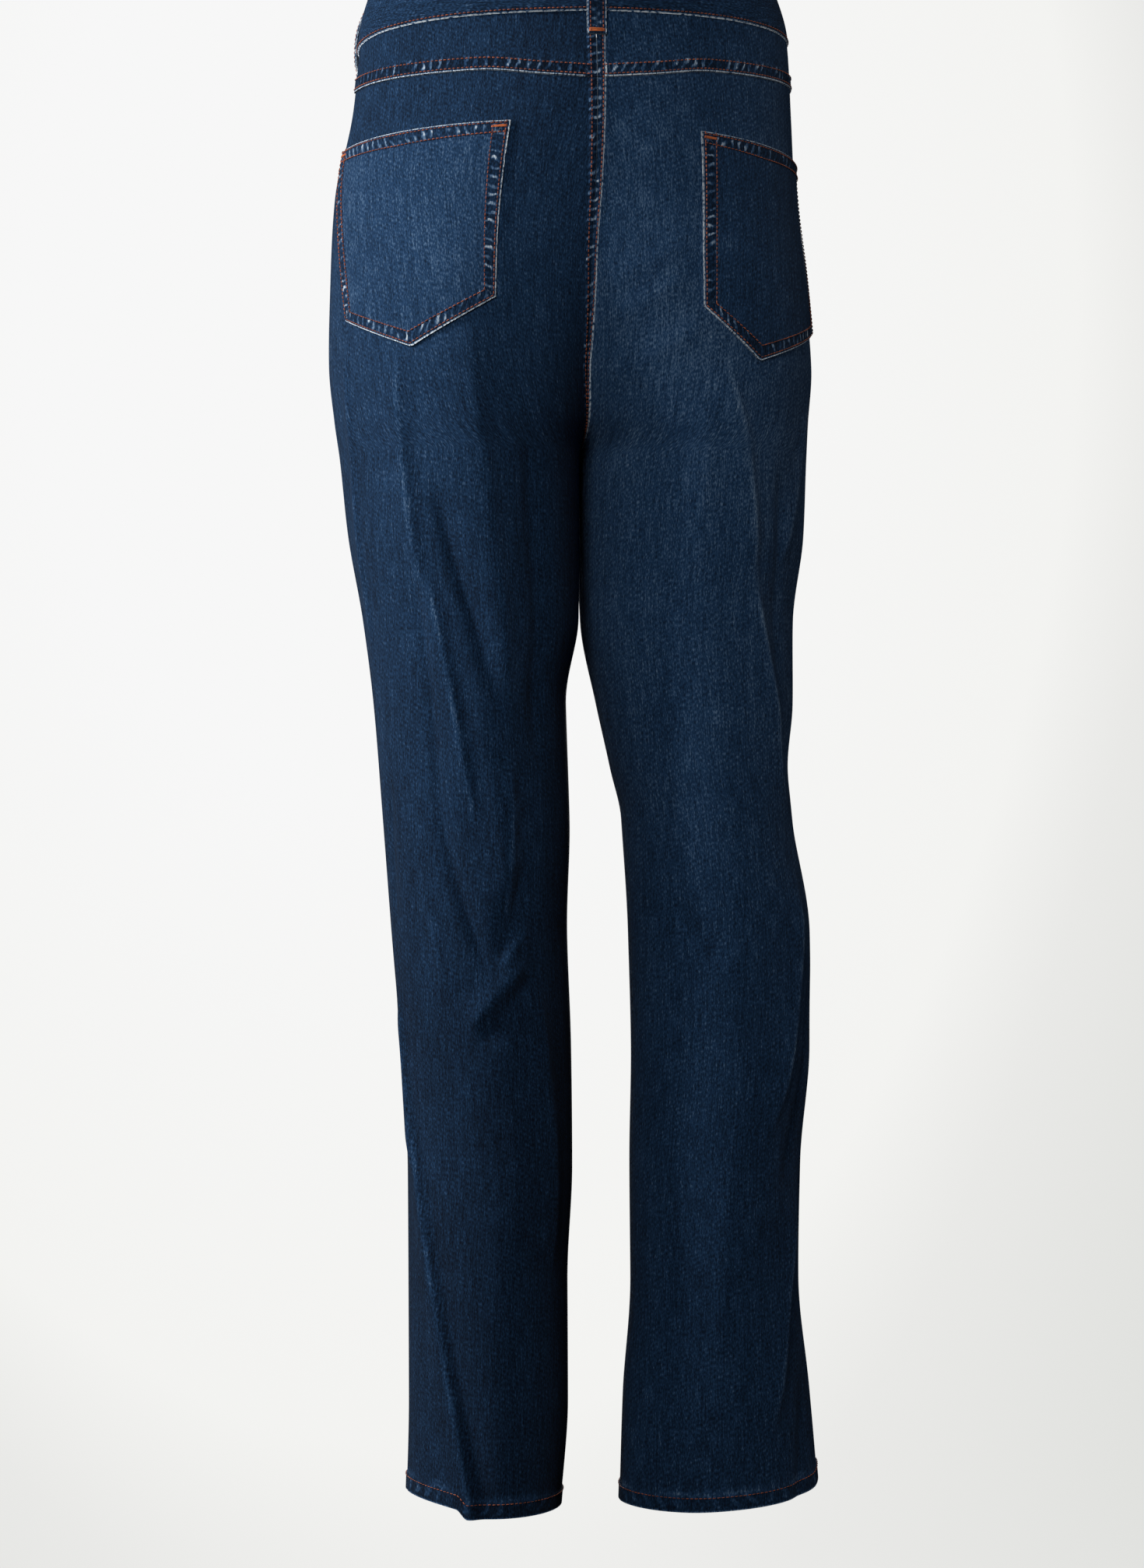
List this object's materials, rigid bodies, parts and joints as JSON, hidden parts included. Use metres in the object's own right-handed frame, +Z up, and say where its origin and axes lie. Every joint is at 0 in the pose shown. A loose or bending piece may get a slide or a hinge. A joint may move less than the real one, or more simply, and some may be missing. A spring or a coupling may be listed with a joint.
{
  "type": "slim jeans",
  "caption": "High-waisted straight slim jeans in dark denim, filled out and hollow, with waistband, yokes, patch back pockets, scooped front pockets, fly and turned hems.",
  "frame": {"origin": "centre of the waist opening, at the height of the waistband, where a wearer's waist holds the garment", "axes": "+Z up along the garment from hems to waist, -Y out of its front, +X to the wearer's left"},
  "size_m": [0.3442, 0.2542, 1.0783],
  "materials": {
    "denim": "dark indigo stretch denim, washed and faded along its seams",
    "zip_cotton": "woven navy zip tape",
    "thread": "rust-coloured sewing thread",
    "brass": "antique brass, lightly brushed"
  },
  "bodies": {
    "root": {"waistband": "denim", "yoke_left": "denim", "yoke_right": "denim", "back_panel_left": "denim", "back_panel_right": "denim", "front_panel_left": "denim", "front_panel_right": "denim", "pocket_facing_left": "denim", "pocket_facing_right": "denim", "back_pocket_left": "denim", "back_pocket_right": "denim", "belt_loop_back": "denim", "belt_loop_side_left": "denim", "belt_loop_side_right": "denim", "belt_loop_front_left": "denim", "belt_loop_front_right": "denim", "fly_shield": "denim", "zip_tape": "zip_cotton", "zip_slider": "brass", "waist_button": "brass"}
  },
  "joints": []
}
